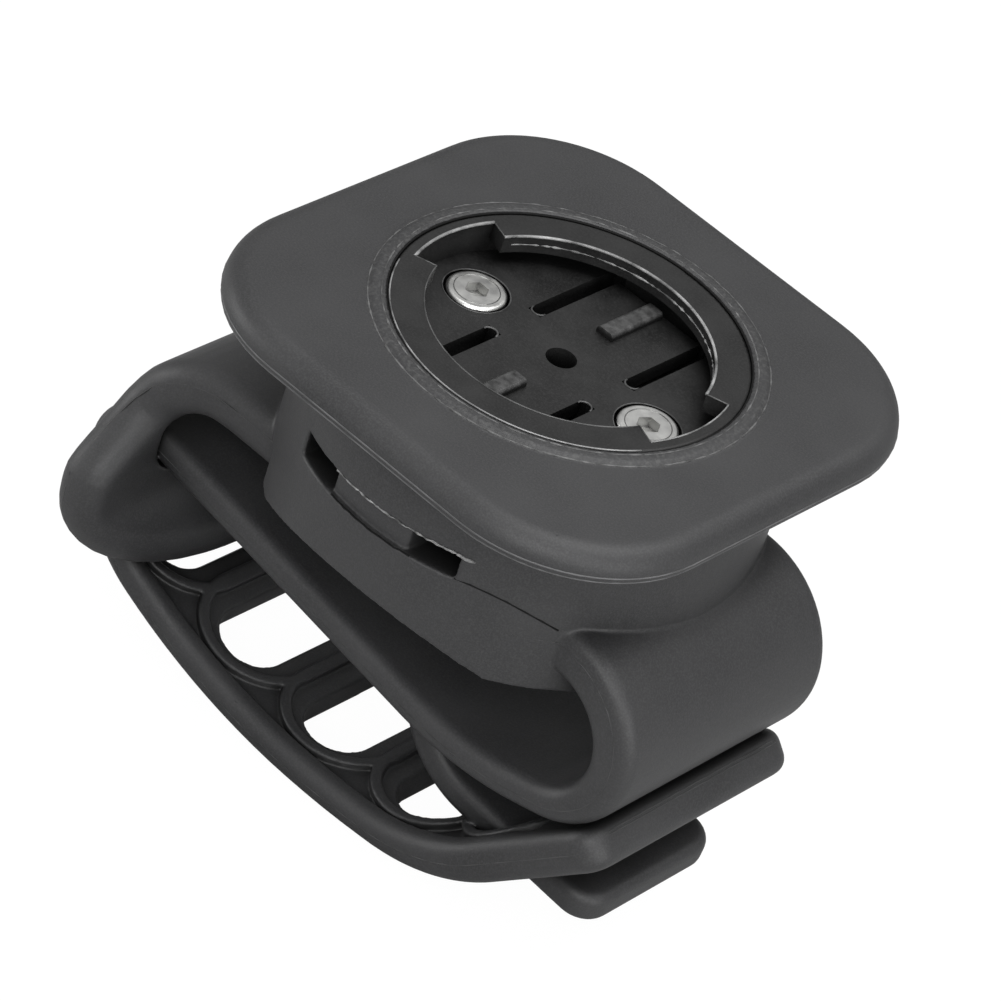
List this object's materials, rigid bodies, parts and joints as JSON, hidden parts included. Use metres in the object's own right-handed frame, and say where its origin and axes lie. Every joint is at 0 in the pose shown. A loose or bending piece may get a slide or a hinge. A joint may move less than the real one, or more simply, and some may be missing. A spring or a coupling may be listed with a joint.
{
  "type": "handlebar device mount",
  "caption": "Silicone handlebar mount with a quarter-turn socket plate, a saddle and a moulded ladder strap that hooks back on itself.",
  "frame": {"origin": "centre of the socket, in the plane of the plate's top face", "axes": "+Z out of the plate towards the device, +X along the strap towards its free end, +Y along the handlebar"},
  "size_m": [0.0666, 0.052, 0.0522],
  "materials": {
    "silicone": "satin",
    "insert_plastic": "satin",
    "backing_steel": "plain",
    "fastener_steel": "bright"
  },
  "bodies": {
    "root": {"silicone_body": "silicone", "socket_insert": "insert_plastic", "backing_plate": "backing_steel", "screw_left": "fastener_steel", "screw_right": "fastener_steel", "nut_left": "fastener_steel", "nut_right": "fastener_steel"}
  },
  "joints": []
}
